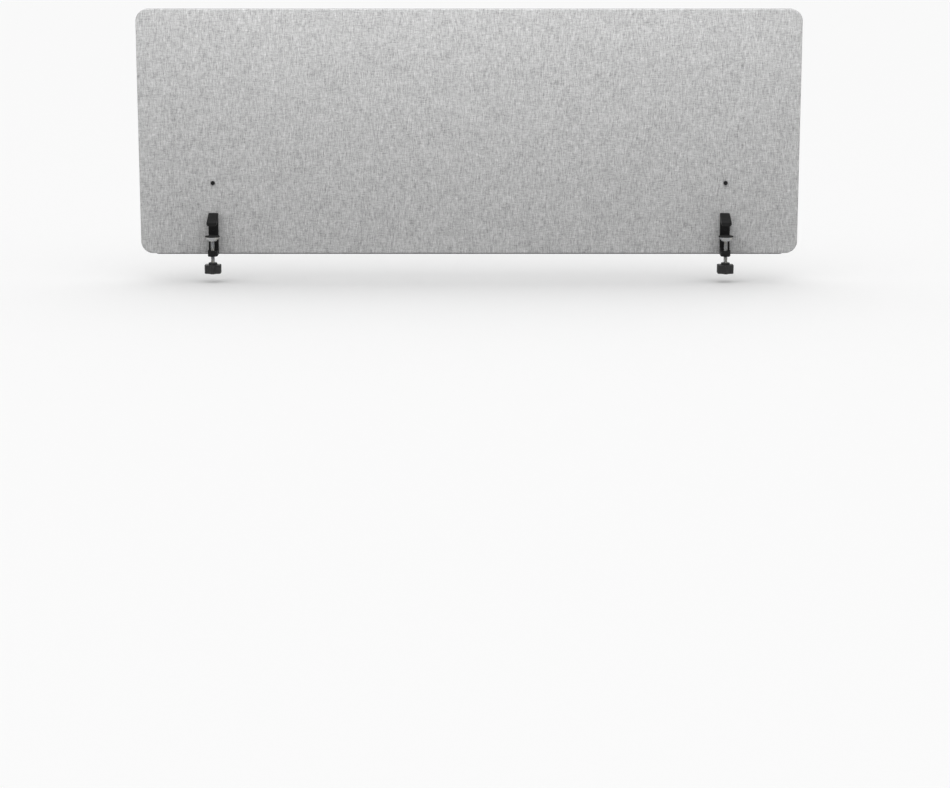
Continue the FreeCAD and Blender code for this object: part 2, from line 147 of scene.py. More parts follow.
# ---- padding -------------------------------------------------------------------------------------
PADDING_GAP = 0.25 * MM           # clear of the CAD sheet's own faces
PADDING_CORNER = CORNER_RADIUS - 2 * MM
PADDING_COLUMNS, PADDING_ROWS = 120, 46
PADDING_RIPPLE = 0.12 * MM

# ---- clamp screw and rubber pads -----------------------------------------------------------------
THREAD_PITCH = 1.25 * MM
THREAD_CREST = 3.98 * MM
THREAD_ROOT = 3.25 * MM
RINGS_PER_PITCH = 10
SCREW_FACETS = 40
SCREW_HEAD_HEIGHT = 5.3 * MM
SCREW_HEAD_FLATS = 13.0 * MM
JOURNAL_RADIUS = 3.0 * MM
CLIP_GROOVE_RADIUS = 2.4 * MM
JAW_PAD_RIBS = 8
JAW_PAD_GROOVE = 0.55 * MM
JAW_PAD_CORNER = 2.0 * MM
JAW_PAD_BEVEL = 0.35 * MM
LINES_PER_RIB = 8
FOOT_PAD_RINGS = 4
FOOT_PAD_FACETS = 72
RING_GROOVE_WIDTH = 0.9 * MM
RING_GROOVE_DEPTH = 0.6 * MM


# ---- mesh helpers --------------------------------------------------------------------------------
def new_object(name, vertices, faces, smooth=True):
    """Object from a list of vertices and faces."""
    mesh = bpy.data.meshes.new(name)
    mesh.from_pydata([tuple(map(float, v)) for v in vertices], [], [tuple(map(int, f)) for f in faces])
    mesh.update()
    if smooth:
        mesh.polygons.foreach_set("use_smooth", [True] * len(mesh.polygons))
    obj = bpy.data.objects.new(name, mesh)
    bpy.context.scene.collection.objects.link(obj)
    return obj


def apply_modifiers(obj):
    """Bake the object's modifiers into its mesh."""
    depsgraph = bpy.context.evaluated_depsgraph_get()
    mesh = bpy.data.meshes.new_from_object(obj.evaluated_get(depsgraph), depsgraph=depsgraph)
    obj.modifiers.clear()
    obj.data = mesh
    return obj


def outward(obj):
    """Make every face point outwards."""
    work = bmesh.new()
    work.from_mesh(obj.data)
    bmesh.ops.recalc_face_normals(work, faces=work.faces)
    work.to_mesh(obj.data)
    work.free()
    return obj


def smoothstep(t):
    """0 below 0, 1 above 1, and a smooth rise between them."""
    t = np.clip(t, 0.0, 1.0)
    return t * t * (3.0 - 2.0 * t)


def bridge(first, second):
    """Faces between two closed loops with the same number of points."""
    count = len(first)
    return [(first[k], first[(k + 1) % count], second[(k + 1) % count], second[k]) for k in range(count)]


def loft_faces(rings, facets, start=0):
    """Faces of a closed solid made of rings of points; start is the index of its first point."""
    loops = [range(start + ring * facets, start + (ring + 1) * facets) for ring in range(rings)]
    faces = [face for lower, upper in zip(loops, loops[1:]) for face in bridge(lower, upper)]
    return faces + [tuple(reversed(loops[0])), tuple(loops[-1])]


def turned_solid(name, rings, axis):
    """Closed solid round a vertical axis; each ring lists (radius, height) at even turns."""
    facets = len(rings[0])
    vertices = []
    for ring in rings:
        for facet, (radius, height) in enumerate(ring):
            turn = 2 * math.pi * facet / facets
            vertices.append((axis[0] + radius * math.cos(turn), axis[1] + radius * math.sin(turn), height))
    return outward(new_object(name, vertices, loft_faces(len(rings), facets)))


def grid_faces(columns, rows):
    """Faces of a grid whose points run up each column in turn."""
    corners = [i * rows + j for i in range(columns - 1) for j in range(rows - 1)]
    return [(a, a + rows, a + rows + 1, a + 1) for a in corners]


def border_loop(columns, rows):
    """Points round a grid's border, from its first corner along the bottom."""
    bottom = [i * rows for i in range(columns)]
    far_side = [(columns - 1) * rows + j for j in range(1, rows)]
    top = [i * rows + rows - 1 for i in range(columns - 2, -1, -1)]
    near_side = list(range(rows - 2, 0, -1))
    return bottom + far_side + top + near_side


def square_to_disc(u, v):
    """Point of the unit quarter square to the unit quarter disc, keeping both straight sides."""
    radius = np.maximum(u, v)
    safe = np.where(radius > 0, radius, 1.0)
    turn = np.where(u >= v, (math.pi / 4) * (v / safe), math.pi / 2 - (math.pi / 4) * (u / safe))
    return radius * np.cos(turn), radius * np.sin(turn)


def round_corners(x, z, arc_x, arc_low, arc_high, radius):
    """Move the points of a grid's four corner squares onto quarter discs about the arc centres."""
    over_x = np.maximum(np.abs(x) - arc_x, 0.0)
    over_z = np.maximum(np.maximum(arc_low - z, z - arc_high), 0.0)
    disc_x, disc_z = square_to_disc(over_x / radius, over_z / radius)
    upper = z > (arc_low + arc_high) / 2
    round_x = np.sign(x) * (arc_x + radius * disc_x)
    round_z = np.where(upper, arc_high + radius * disc_z, arc_low - radius * disc_z)
    in_corner = (over_x > 0) & (over_z > 0)
    return np.where(in_corner, round_x, x), np.where(in_corner, round_z, z)


# ---- cover geometry ------------------------------------------------------------------------------
def graded_lines(low, high, fine_places):
    """Grid lines from low to high, closer together near the given places."""
    lines = [low]
    while lines[-1] < high - 1e-9:
        here = lines[-1]
        nearest = min(abs(here - place) for place in fine_places)
        grow = smoothstep((nearest - FINE_REACH) / (3 * FINE_REACH))
        lines.append(here + FINE_STEP + (GRID_STEP - FINE_STEP) * float(grow))
    lines = np.array(lines)
    return low + (lines - low) * (high - low) / (lines[-1] - low)


def face_grid():
    """Grid over a cover's face inside its soft shoulder, with the panel's round corners."""
    corner = CORNER_RADIUS - EDGE_ROUNDING
    margin = np.linspace(0, corner, CORNER_LINES + 1)[1:]
    xs = np.concatenate([-ARC_X - margin[::-1], graded_lines(-ARC_X, ARC_X, BOLT_COLUMNS), ARC_X + margin])
    zs = np.concatenate([ARC_LOW - margin[::-1], graded_lines(ARC_LOW, ARC_HIGH, FINE_LEVELS),
                         ARC_HIGH + margin])
    x, z = np.meshgrid(xs, zs, indexing="ij")
    return round_corners(x, z, ARC_X, ARC_LOW, ARC_HIGH, corner)


def pressed_boxes(side):
    """(x low, x high, z low, z high) of the metal that presses on this face of the panel."""
    kind = "clamp_body" if side < 0 else "backing_bar"
    boxes = []
    for name in SIDES:
        low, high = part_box(f"{name}_{kind}")
        boxes.append((low.x, high.x, max(low.z, COVER_BOTTOM), high.z))
    return boxes


def face_relief(x, z, side):
    """How far the cloth stands out from the plane of the face, from the padding and the fittings."""
    relief = BROAD_WAVE * np.sin(x * 21.0 + 1.3 * np.sin(z * 17.0)) * np.sin(z * 26.0 + x * 5.0)
    relief += FINE_WAVE * np.sin(x * 57.0 + z * 31.0 + side) * np.sin(z * 63.0 - x * 19.0)
    for x_low, x_high, z_low, z_high in pressed_boxes(side):
        away_x = np.maximum(np.maximum(x_low - x, x - x_high), 0.0)
        away_z = np.maximum(np.maximum(z_low - z, z - z_high), 0.0)
        away = np.hypot(away_x, away_z)
        free = 1.0 - np.exp(-away / PRESS_REACH)
        bulge = BULGE * free * np.exp(-away / BULGE_REACH)
        relief = relief * free + bulge - PRESS_IN * (1.0 - free)
    if side < 0:
        for column in BOLT_COLUMNS:
            reach = np.hypot(x - column, z - UPPER_BOLT_LEVEL)
            dimple = np.exp(-np.maximum(reach - HEAD_RADIUS, 0.0) / DIMPLE_REACH)
            relief = relief * (1.0 - dimple) - HEAD_SINK * dimple
            turn = np.arctan2(z - UPPER_BOLT_LEVEL, x - column)
            band = np.exp(-((reach - PUCKER_RADIUS) / PUCKER_WIDTH) ** 2)
            relief += PUCKER * band * np.sin(PUCKERS_PER_BOLT * turn + column * 40.0)
    return relief


def held_points(x, z, side):
    """Which points of the sheet stay put: along the border, by the clamps or bars, at the bolt heads."""
    over_x = np.maximum(np.abs(x) - ARC_X, 0.0)
    over_z = np.maximum(np.maximum(ARC_LOW - z, z - ARC_HIGH), 0.0)
    held = np.hypot(over_x, over_z) > CORNER_RADIUS - (EDGE_ROUNDING + SHEET_STEP)
    for x_low, x_high, z_low, z_high in pressed_boxes(side):
        held |= (x > x_low - SHEET_STEP) & (x < x_high + SHEET_STEP) \
            & (z > z_low - SHEET_STEP) & (z < z_high + SHEET_STEP)
    for column in BOLT_COLUMNS:
        held |= np.hypot(x - column, z - UPPER_BOLT_LEVEL) < SHEET_STEP
    return held


def run_cloth(sheet, held):
    """Simulate a sheet under the padding's push, firmly held at some points, and keep its last shape."""
    group = sheet.vertex_groups.new(name="held")
    group.add(np.flatnonzero(held).tolist(), 1.0, "REPLACE")
    group.add(np.flatnonzero(~held).tolist(), BEDDING, "REPLACE")
    modifier = sheet.modifiers.new("cloth", "CLOTH")
    settings = modifier.settings
    settings.quality = 5
    settings.mass = 0.02
    settings.tension_stiffness = settings.compression_stiffness = 15.0
    settings.shear_stiffness = 5.0
    settings.bending_stiffness = 0.05
    settings.vertex_group_mass = group.name
    settings.pin_stiffness = 1.0
    settings.use_pressure = True
    settings.uniform_pressure_force = PADDING_PUSH
    settings.effector_weights.gravity = 0.0
    modifier.point_cache.frame_start, modifier.point_cache.frame_end = 1, SETTLING_FRAMES
    for frame_number in range(1, SETTLING_FRAMES + 1):
        bpy.context.scene.frame_set(frame_number)
    apply_modifiers(sheet)
    bpy.context.scene.frame_set(1)


def settle_cloth(side):
    """Push the cover out over its padding with Blender's cloth, held at the border and the fittings.

    Returns the sheet's grid lines and how far each of its points moved out.
    """
    xs = np.linspace(EDGE_ROUNDING - HALF_WIDTH, HALF_WIDTH - EDGE_ROUNDING, SHEET_COLUMNS)
    zs = np.linspace(COVER_BOTTOM + EDGE_ROUNDING, PANEL_TOP - EDGE_ROUNDING, SHEET_ROWS)
    x, z = (lines.ravel() for lines in np.meshgrid(xs, zs, indexing="ij"))
    # the sheet starts on the inner side of the origin's plane: Blender then takes it to enclose nothing,
    # and the push is the padding's alone, not a restored volume
    start = side * (face_relief(x, z, side) - HALF_THICKNESS)
    faces = grid_faces(SHEET_COLUMNS, SHEET_ROWS)
    if side > 0:
        faces = [face[::-1] for face in faces]
    sheet = new_object("settling_sheet", np.column_stack([x, start, z]), faces)
    held = held_points(x, z, side)
    run_cloth(sheet, held)
    settled = np.empty(len(x) * 3, np.float32)
    sheet.data.vertices.foreach_get("co", settled)
    moved = side * (settled.reshape(-1, 3)[:, 1] - start)
    moved = SWELL_CAP * np.tanh(np.where(held, 0.0, moved) / SWELL_CAP)
    mesh = sheet.data
    bpy.data.objects.remove(sheet)
    bpy.data.meshes.remove(mesh)
    return xs, zs, moved.reshape(SHEET_COLUMNS, SHEET_ROWS)


def sample_sheet(sheet, x, z):
    """Sheet displacement at each x, z, between its grid points."""
    xs, zs, moved = sheet
    column = np.clip((x - xs[0]) / (xs[1] - xs[0]), 0, len(xs) - 1.001)
    row = np.clip((z - zs[0]) / (zs[1] - zs[0]), 0, len(zs) - 1.001)
    i, j = column.astype(int), row.astype(int)
    s, t = column - i, row - j
    return ((1 - s) * (1 - t) * moved[i, j] + s * (1 - t) * moved[i + 1, j]
            + (1 - s) * t * moved[i, j + 1] + s * t * moved[i + 1, j + 1])


def rim_path(bottom):
    """(offset outwards, distance in from the face, cloth length) down the edge to the seam or groove."""
    turns = [math.pi / 2 * i / SHOULDER_STEPS for i in range(1, SHOULDER_STEPS + 1)]
    shoulder = [(EDGE_ROUNDING * math.sin(turn), EDGE_ROUNDING * (1 - math.cos(turn))) for turn in turns]
    if bottom:
        end = HALF_THICKNESS - TUCK_FACE
        flat_end, stops = end - 0.8 * MM, (0.3, 0.65, 1.0)
        turn_in = [(EDGE_ROUNDING - 0.25 * MM, end - 0.2 * MM), (EDGE_ROUNDING - 0.9 * MM, end),
                   (EDGE_ROUNDING - TUCK_DEPTH * 0.5, end), (EDGE_ROUNDING - TUCK_DEPTH, end)]
    else:
        end = HALF_THICKNESS - SEAM_HALF
        flat_end, stops = end - 0.9 * MM, (0.35, 0.7, 1.0)
        turn_in = [(EDGE_ROUNDING - SEAM_DEPTH * share, end - short * MM)
                   for share, short in ((0.1, 0.45), (0.35, 0.18), (0.7, 0.05), (1.0, 0.0))]
    flat = [(EDGE_ROUNDING, EDGE_ROUNDING + (flat_end - EDGE_ROUNDING) * stop) for stop in stops]
    path = np.array([(0.0, 0.0)] + shoulder + flat + turn_in)
    lengths = np.concatenate([[0.0], np.cumsum(np.hypot(*np.diff(path, axis=0).T))])
    return np.column_stack([path, lengths])[1:]


def edge_rings(border, border_relief):
    """Rings of points from the face's border over the shoulder and down the edge.

    Each ring is its points' x and z, their distance in from the face, and their place on the cloth.
    """
    normal = border - np.clip(border, (-ARC_X, ARC_LOW), (ARC_X, ARC_HIGH))
    normal /= np.linalg.norm(normal, axis=1)[:, None]
    on_bottom = (normal[:, 1] < -0.999) & (border[:, 1] < ARC_LOW)
    tuck = np.where(on_bottom, smoothstep((TUCK_END - np.abs(border[:, 0])) / TUCK_FADE), 0.0)
    corner_turn = np.arctan2(np.abs(normal[:, 1]), np.abs(normal[:, 0])) / (math.pi / 2)
    gather = np.sin(2 * math.pi * GATHERS_PER_CORNER * corner_turn) * np.sin(math.pi * corner_turn)
    rings = []
    for ring, (plain, tucked) in enumerate(zip(rim_path(bottom=False), rim_path(bottom=True))):
        offset, depth, length = (plain[k] * (1 - tuck) + tucked[k] * tuck for k in range(3))
        # gathers grow from the face towards the seam, where the crease keeps half of their height
        swell = GATHER_HEIGHT * gather * smoothstep(depth / (0.7 * HALF_THICKNESS)) * (1 - tuck)
        swell = np.where(offset > EDGE_ROUNDING - 0.2 * MM, swell, swell * 0.5)
        fade = math.exp(-ring / 4.0)
        rings.append((border + normal * (offset + swell)[:, None], depth + border_relief * fade,
                      border + normal * length[:, None]))
    return rings


def without_holes(vertices, faces):
    """The faces, less those of the flat face where a bolt passes through."""
    centres = np.array([vertices[list(face)].mean(0) for face in faces])
    on_face = np.abs(centres[:, 1]) > HALF_THICKNESS - 1.5 * MM
    in_hole = np.zeros(len(faces), bool)
    for column in BOLT_COLUMNS:
        for level in (UPPER_BOLT_LEVEL, *LOWER_BOLT_LEVELS):
            in_hole |= np.hypot(centres[:, 0] - column, centres[:, 2] - level) < HOLE_RADIUS
    return [face for face, gone in zip(faces, on_face & in_hole) if not gone]


def cover(name, side):
    """One cover: face, soft shoulder, edge and seam or tuck, as one sheet with a thickness."""
    x, z = face_grid()
    columns, rows = x.shape
    face = np.column_stack([x.ravel(), z.ravel()])
    relief = face_relief(*face.T, side) + sample_sheet(settle_cloth(side), *face.T)
    loop = border_loop(columns, rows)
    faces = grid_faces(columns, rows)
    places, depths, cloth = [face], [-relief], [face]
    for ring_place, ring_depth, ring_cloth in edge_rings(face[loop], -relief[loop]):
        first = sum(len(place) for place in places)
        ring_loop = list(range(first, first + len(ring_place)))
        faces += bridge(ring_loop, loop)
        loop = ring_loop
        places.append(ring_place)
        depths.append(ring_depth)
        cloth.append(ring_cloth)
    x, z = np.vstack(places).T
    vertices = np.column_stack([x, side * (HALF_THICKNESS - np.concatenate(depths)), z])
    obj = new_object(name, vertices, without_holes(vertices, faces))

    attribute = obj.data.attributes.new("cloth", "FLOAT_VECTOR", "POINT")
    flat = np.column_stack([np.vstack(cloth), np.full(len(vertices), WEAVE_SHIFT * side)])
    attribute.data.foreach_set("vector", flat.astype(np.float32).ravel())
    work = bmesh.new()
    work.from_mesh(obj.data)
    bmesh.ops.delete(work, geom=[v for v in work.verts if not v.link_faces], context="VERTS")
    if side > 0:
        bmesh.ops.reverse_faces(work, faces=work.faces)
    work.to_mesh(obj.data)
    work.free()
    thickness = obj.modifiers.new("thickness", "SOLIDIFY")
    thickness.thickness = CLOTH_THICKNESS
    thickness.offset = -1.0
    return apply_modifiers(obj)


# ---- seam and padding geometry -------------------------------------------------------------------
SIDE_LENGTH = ARC_HIGH - ARC_LOW
TOP_LENGTH = 2 * ARC_X
ARC_LENGTH = math.pi / 2 * CORNER_RADIUS
SEAM_LENGTH = 2 * SIDE_LENGTH + TOP_LENGTH + 2 * ARC_LENGTH


def arc_point(arc_x, turn):
    """Point and outward normal on an upper corner."""
    out = (math.cos(turn), math.sin(turn))
    return (arc_x + CORNER_RADIUS * out[0], ARC_HIGH + CORNER_RADIUS * out[1]), out


def outline_point(distance):
    """Point and outward normal along the panel's outline: up the left side, over, and down the right."""
    if distance < SIDE_LENGTH:
        return (-HALF_WIDTH, ARC_LOW + distance), (-1.0, 0.0)
    distance -= SIDE_LENGTH
    if distance < ARC_LENGTH:
        return arc_point(-ARC_X, math.pi - distance / CORNER_RADIUS)
    distance -= ARC_LENGTH
    if distance < TOP_LENGTH:
        return (distance - ARC_X, PANEL_TOP), (0.0, 1.0)
    distance -= TOP_LENGTH
    if distance < ARC_LENGTH:
        return arc_point(ARC_X, math.pi / 2 - distance / CORNER_RADIUS)
    distance -= ARC_LENGTH
    return (HALF_WIDTH, ARC_HIGH - distance), (1.0, 0.0)


def stitch_ring(middle, t):
    """Points round a stitch's thread at t, from -1 at the front cover to 1 at the rear cover."""
    distance = min(max(middle + t * STITCH_LEAN / 2, 0.0), SEAM_LENGTH - 1e-6)
    (x, z), (normal_x, normal_z) = outline_point(distance)
    # the thread lies over the seam, and thins and dives into the cloth at both ends
    lift = STITCH_RADIUS * (0.9 - 2.6 * t ** 4)
    radius = STITCH_RADIUS * (1.0 - 0.45 * t ** 4)
    ring_centre = Vector((x + normal_x * lift, t * STITCH_SPAN / 2, z + normal_z * lift))
    along = Vector((-normal_z * STITCH_LEAN, STITCH_SPAN, normal_x * STITCH_LEAN)).normalized()
    up = Vector((normal_x, 0, normal_z))
    across = along.cross(up).normalized()
    turns = [2 * math.pi * facet / STITCH_FACETS for facet in range(STITCH_FACETS)]
    return [ring_centre + (up * math.sin(turn) + across * math.cos(turn)) * radius for turn in turns]


def seam_stitches(name):
    """Slanted stitches that draw the two covers together up the sides and over the top."""
    count = round(SEAM_LENGTH / STITCH_PITCH)
    vertices, faces = [], []
    for k in range(count):
        faces += loft_faces(STITCH_RINGS, STITCH_FACETS, start=len(vertices))
        middle = (k + 0.5) * SEAM_LENGTH / count
        for ring in range(STITCH_RINGS):
            vertices += stitch_ring(middle, -1.0 + 2.0 * ring / (STITCH_RINGS - 1))
    return outward(new_object(name, vertices, faces))


def padding(name, node):
    """Padding sheet with a softly uneven face, in the CAD sheet's place."""
    low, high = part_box(node)
    side = -1 if low.y < 0 else 1
    outer, inner = (low.y, high.y) if side < 0 else (high.y, low.y)
    half, bottom, top = high.x - PADDING_GAP, low.z + PADDING_GAP, high.z - PADDING_GAP
    x, z = np.meshgrid(np.linspace(-half, half, PADDING_COLUMNS), np.linspace(bottom, top, PADDING_ROWS),
                       indexing="ij")
    x, z = round_corners(x, z, half - PADDING_CORNER, bottom + PADDING_CORNER, top - PADDING_CORNER,
                         PADDING_CORNER)
    x, z = x.ravel(), z.ravel()
    ripple = PADDING_RIPPLE * np.sin(x * 43.0 + 2.0 * np.sin(z * 29.0))
    uneven = outer - side * (PADDING_GAP + 0.2 * MM + ripple)
    flat = np.full(x.size, inner + side * 0.02 * MM)
    vertices = np.vstack([np.column_stack([x, y, z]) for y in (uneven, flat)])
    faces = []
    for quad in grid_faces(PADDING_COLUMNS, PADDING_ROWS):
        faces += [quad, tuple(x.size + point for point in reversed(quad))]
    border = border_loop(PADDING_COLUMNS, PADDING_ROWS)
    faces += bridge(border, [x.size + point for point in border])
    return outward(new_object(name, vertices, faces))


# ---- clamp details -------------------------------------------------------------------------------
def thread_radius(height, turn, low, high):
    """Radius of a helical thread that runs from low to high and fades out over a pitch at both ends."""
    phase = ((height - low) / THREAD_PITCH - turn / (2 * math.pi)) % 1.0
    ridge = np.clip(1.35 - abs(phase - 0.5) * 3.4, 0.0, 1.0)
    ends = smoothstep((height - low) / THREAD_PITCH) * smoothstep((high - height) / THREAD_PITCH)
    return THREAD_ROOT + (THREAD_CREST - THREAD_ROOT) * float(ridge * ends)


def threaded_screw(name, side):
    """Screw with a true helical thread, a grooved journal, and its hexagon head hidden in the knob."""
    low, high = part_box(f"{side}_clamp_screw")
    clip_low, clip_high = (corner.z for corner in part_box(f"{side}_foot_clip"))
    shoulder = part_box(f"{side}_pressure_foot")[0].z - 0.1 * MM
    head_top = low.z + SCREW_HEAD_HEIGHT
    thread_low, thread_high = head_top + 2 * MM, shoulder - 0.6 * MM
    turns = [2 * math.pi * facet / SCREW_FACETS for facet in range(SCREW_FACETS)]
    sixth = math.pi / 3
    hexagon = [SCREW_HEAD_FLATS / 2 / math.cos((turn + sixth / 2) % sixth - sixth / 2) for turn in turns]
    rings = [[(radius - 0.4 * MM, low.z + 0.05 * MM) for radius in hexagon],
             [(radius, low.z + 0.45 * MM) for radius in hexagon],
             [(radius, head_top) for radius in hexagon]]
    rings += [[(THREAD_CREST, height)] * SCREW_FACETS for height in (head_top, thread_low - 1.2 * MM)]
    steps = int((thread_high - thread_low) / THREAD_PITCH * RINGS_PER_PITCH)
    for height in np.linspace(thread_low, thread_high, steps + 1):
        rings.append([(thread_radius(height, turn, thread_low, thread_high), height) for turn in turns])
    groove_high = clip_high + 0.2 * MM
    for radius, height in ((THREAD_ROOT, shoulder - 0.1 * MM), (JOURNAL_RADIUS, shoulder),
                           (JOURNAL_RADIUS, clip_low), (CLIP_GROOVE_RADIUS, clip_low),
                           (CLIP_GROOVE_RADIUS, groove_high), (JOURNAL_RADIUS, groove_high),
                           (JOURNAL_RADIUS, high.z - 0.6 * MM), (JOURNAL_RADIUS - 0.6 * MM, high.z)):
        rings.append([(radius, height)] * SCREW_FACETS)
    return turned_solid(name, rings, centre(f"{side}_foot_pad"))


def ribbed_jaw_pad(name, side):
    """Rubber pad under the upper jaw, with anti-slip ribs across it."""
    low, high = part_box(f"{side}_jaw_pad")
    ys = np.linspace(low.y, high.y, JAW_PAD_RIBS * LINES_PER_RIB + 1)
    phase = (ys - low.y) / (high.y - low.y) * JAW_PAD_RIBS
    groove_start, groove_slope = 0.30, 0.12
    lift = JAW_PAD_GROOVE * smoothstep((np.abs((phase % 1.0) - 0.5) - groove_start) / groove_slope)
    over = np.maximum(JAW_PAD_CORNER - np.minimum(ys - low.y, high.y - ys), 0.0)
    round_in = JAW_PAD_CORNER - np.sqrt(np.maximum(JAW_PAD_CORNER ** 2 - over ** 2, 0.0))
    half = (high.x - low.x) / 2 - round_in
    middle = (low.x + high.x) / 2
    vertices = []
    for y, bottom, h in zip(ys, low.z + lift, half):
        section = ((-h + JAW_PAD_BEVEL, bottom), (-h, bottom + JAW_PAD_BEVEL), (-h, high.z),
                   (h, high.z), (h, bottom + JAW_PAD_BEVEL), (h - JAW_PAD_BEVEL, bottom))
        vertices += [(middle + x, y, z) for x, z in section]
    return outward(new_object(name, vertices, loft_faces(len(ys), len(section)), smooth=False))


def ribbed_foot_pad(name, side):
    """Rubber disc on the pressure foot, with rings moulded in its top."""
    low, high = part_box(f"{side}_foot_pad")
    radius, axis_radius = (high.x - low.x) / 2, 0.02 * MM
    profile = [(axis_radius, low.z), (radius, low.z), (radius, high.z - 0.7 * MM),
               (radius - 0.2 * MM, high.z - 0.25 * MM), (radius - 0.7 * MM, high.z)]
    bottom, wide, narrow = high.z - RING_GROOVE_DEPTH, RING_GROOVE_WIDTH / 2, RING_GROOVE_WIDTH / 4
    for ring in range(FOOT_PAD_RINGS, 0, -1):
        middle = radius * ring / (FOOT_PAD_RINGS + 1)
        profile += [(middle + wide, high.z), (middle + narrow, bottom),
                    (middle - narrow, bottom), (middle - wide, high.z)]
    profile.append((axis_radius, high.z))
    rings = [[point] * FOOT_PAD_FACETS for point in profile]
    return turned_solid(name, rings, centre(f"{side}_foot_pad"))


# ---- material helpers ----------------------------------------------------------------------------
class Shader:
    """A material's node tree, with short calls for the nodes used here."""

    def __init__(self, name):
        self.material = bpy.data.materials.new(name)
        self.material.use_nodes = True
        self.nodes = self.material.node_tree.nodes
        self.links = self.material.node_tree.links
        self.surface = self.nodes["Principled BSDF"]

    def plug(self, value, socket):
        """Link an output socket, or set a plain value."""
        if isinstance(value, bpy.types.NodeSocket):
            self.links.new(value, socket)
        else:
            socket.default_value = value

    def math(self, operation, a, b=0.0):
        node = self.nodes.new("ShaderNodeMath")
        node.operation = operation
        self.plug(a, node.inputs[0])
        self.plug(b, node.inputs[1])
        return node.outputs[0]

    def vector(self, x, y, z):
        node = self.nodes.new("ShaderNodeCombineXYZ")
        for value, socket in zip((x, y, z), node.inputs):
            self.plug(value, socket)
        return node.outputs[0]

    def split(self, vector):
        node = self.nodes.new("ShaderNodeSeparateXYZ")
        self.plug(vector, node.inputs[0])
        return node.outputs

    def vector_math(self, operation, a, b):
        node = self.nodes.new("ShaderNodeVectorMath")
        node.operation = operation
        self.plug(a, node.inputs[0])
        self.plug(b, node.inputs[1])
        return node.outputs

    def scaled(self, vector, factors):
        return self.vector_math("MULTIPLY", vector, factors)[0]

    def attribute(self, name):
        node = self.nodes.new("ShaderNodeAttribute")
        node.attribute_name = name
        return node.outputs["Vector"]

    def place(self):
        return self.nodes.new("ShaderNodeTexCoord").outputs["Object"]

    def noise(self, vector, scale=1.0, detail=2.0, roughness=0.5):
        node = self.nodes.new("ShaderNodeTexNoise")
        self.plug(vector, node.inputs["Vector"])
        node.inputs["Scale"].default_value = scale
        node.inputs["Detail"].default_value = detail
        node.inputs["Roughness"].default_value = roughness
        return node.outputs["Fac"]

    def cells(self, vector, scale):
        node = self.nodes.new("ShaderNodeTexVoronoi")
        self.plug(vector, node.inputs["Vector"])
        node.inputs["Scale"].default_value = scale
        return node.outputs["Distance"]

    def ramp(self, value, *stops):
        node = self.nodes.new("ShaderNodeValToRGB")
        self.plug(value, node.inputs[0])
        elements = node.color_ramp.elements
        while len(elements) < len(stops):
            elements.new(0.5)
        for element, (position, colour) in zip(elements, stops):
            element.position = position
            element.color = (*colour, 1.0) if isinstance(colour, tuple) else (colour,) * 3 + (1.0,)
        return node.outputs["Color"]

    def spread(self, value, low, high):
        """Map noise, which stays near its middle, to low at 0.3 and high at 0.7."""
        node = self.nodes.new("ShaderNodeMapRange")
        node.clamp = False
        for key, number in (("From Min", 0.3), ("From Max", 0.7), ("To Min", low), ("To Max", high)):
            node.inputs[key].default_value = number
        self.plug(value, node.inputs["Value"])
        return node.outputs[0]

    def mix(self, factor, a, b):
        node = self.nodes.new("ShaderNodeMix")
        node.data_type = "RGBA"
        self.plug(factor, node.inputs["Factor"])
        for value, key in ((a, 6), (b, 7)):
            if isinstance(value, tuple):
                value = (*value, 1.0)
            self.plug(value, node.inputs[key])
        return node.outputs[2]

    def edge_wear(self, radius, strength):
        """0 on flat stretches, rising towards 1 along edges sharper than the radius."""
        geometry = self.nodes.new("ShaderNodeNewGeometry")
        bevel = self.nodes.new("ShaderNodeBevel")
        bevel.samples = 4
        bevel.inputs["Radius"].default_value = radius
        likeness = self.vector_math("DOT_PRODUCT", geometry.outputs["Normal"], bevel.outputs["Normal"])
        edge = self.math("MULTIPLY", self.math("SUBTRACT", 1.0, likeness["Value"]), strength)
        return self.math("MINIMUM", edge, 1.0)

    def bump(self, height, distance, strength):
        node = self.nodes.new("ShaderNodeBump")
        self.plug(height, node.inputs["Height"])
        node.inputs["Distance"].default_value = distance
        node.inputs["Strength"].default_value = strength
        self.plug(node.outputs["Normal"], self.surface.inputs["Normal"])

    def finish(self, **inputs):
        """Set the surface's inputs by name, with _ for a space."""
        for name, value in inputs.items():
            if isinstance(value, tuple):
                value = (*value, 1.0)
            self.plug(value, self.surface.inputs[name.replace("_", " ")])
        return self.material


